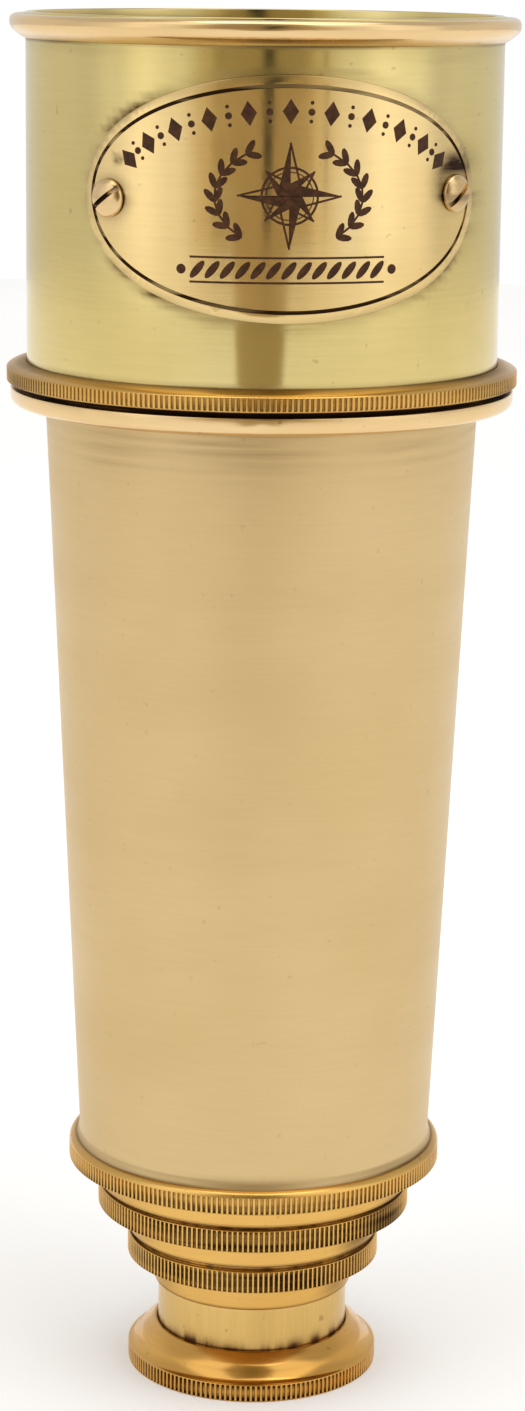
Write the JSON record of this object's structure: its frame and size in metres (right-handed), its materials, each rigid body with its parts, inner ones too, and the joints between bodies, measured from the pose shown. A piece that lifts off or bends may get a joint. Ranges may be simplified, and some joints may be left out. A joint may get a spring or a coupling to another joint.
{
  "type": "draw telescope",
  "caption": "Closed brass hand telescope with nested sliding draws, knurled rings, a screw-on sunshade with an oval nameplate, and an eyepiece cup it stands on.",
  "frame": {"origin": "centre of the eyepiece cup's rim, on the plane it stands on", "axes": "+Z along the optical axis towards the sunshade's mouth; the nameplate faces -Y, turned 6 degrees towards +X"},
  "size_m": [0.0552, 0.0552, 0.1515],
  "materials": {
    "polished_brass": "polished, greenish yellow, lightly tarnished",
    "rosy_brass": "satin, pinkish",
    "satin_brass": "brushed satin, worn",
    "golden_brass": "polished, warm",
    "knurled_brass": "straight knurl with dark grooves",
    "draw_brass": "polished draw tube",
    "blackened_brass": "blackened inside",
    "glass": "clear, polished"
  },
  "bodies": {
    "eyepiece": {"eye_tube": "draw_brass", "eye_tube_stop_ring": "blackened_brass", "erector_tube": "blackened_brass", "erector_front_lens": "glass", "erector_rear_lens": "glass", "erector_aperture_stop": "blackened_brass", "erector_retaining_rings": "blackened_brass", "ocular_cell": "blackened_brass", "field_lens": "glass", "field_lens_retaining_ring": "blackened_brass", "field_stop": "blackened_brass", "eye_lens": "glass", "eye_lens_retaining_ring": "blackened_brass", "eyepiece_cup": "golden_brass"},
    "draw_2": {"draw_2_tube": "draw_brass", "draw_2_ferrule": "knurled_brass", "draw_2_guide_sleeve": "blackened_brass", "draw_2_stop_ring": "blackened_brass"},
    "draw_1": {"draw_1_tube": "draw_brass", "draw_1_ferrule": "knurled_brass", "draw_1_guide_sleeve": "blackened_brass", "draw_1_stop_ring": "blackened_brass"},
    "barrel": {"barrel_flange": "rosy_brass", "barrel_tube": "satin_brass", "barrel_end_ring": "knurled_brass", "barrel_guide_sleeve": "blackened_brass"},
    "objective_lens": {"objective_crown_lens": "glass", "objective_flint_lens": "glass"},
    "sunshade": {"front_bead_ring": "rosy_brass", "sunshade_tube": "polished_brass", "nameplate": "rosy_brass", "nameplate_screws": "golden_brass", "objective_collar": "knurled_brass", "objective_retaining_ring": "blackened_brass"}
  },
  "joints": [
    {"name": "draw_2_slide", "type": "slide", "parent": "eyepiece", "child": "draw_2", "axis": [0, 0, 1], "range_m": [0, 0.071]},
    {"name": "draw_1_slide", "type": "slide", "parent": "draw_2", "child": "draw_1", "axis": [0, 0, 1], "range_m": [0, 0.0665]},
    {"name": "barrel_slide", "type": "slide", "parent": "draw_1", "child": "barrel", "axis": [0, 0, 1], "range_m": [0, 0.063]},
    {"name": "objective_rise", "type": "slide", "parent": "barrel", "child": "objective_lens", "axis": [0, 0, 1], "range_m": [0, 0.0075]},
    {"name": "sunshade_unscrew", "type": "hinge", "parent": "objective_lens", "child": "sunshade", "pos_m": [0, 0, 0.112], "axis": [0, 0, 1], "range_deg": [0, 2700]}
  ],
  "couplings": [
    {"joint": "sunshade_unscrew", "follows": "objective_rise", "rad_per_m": 6283.2}
  ]
}
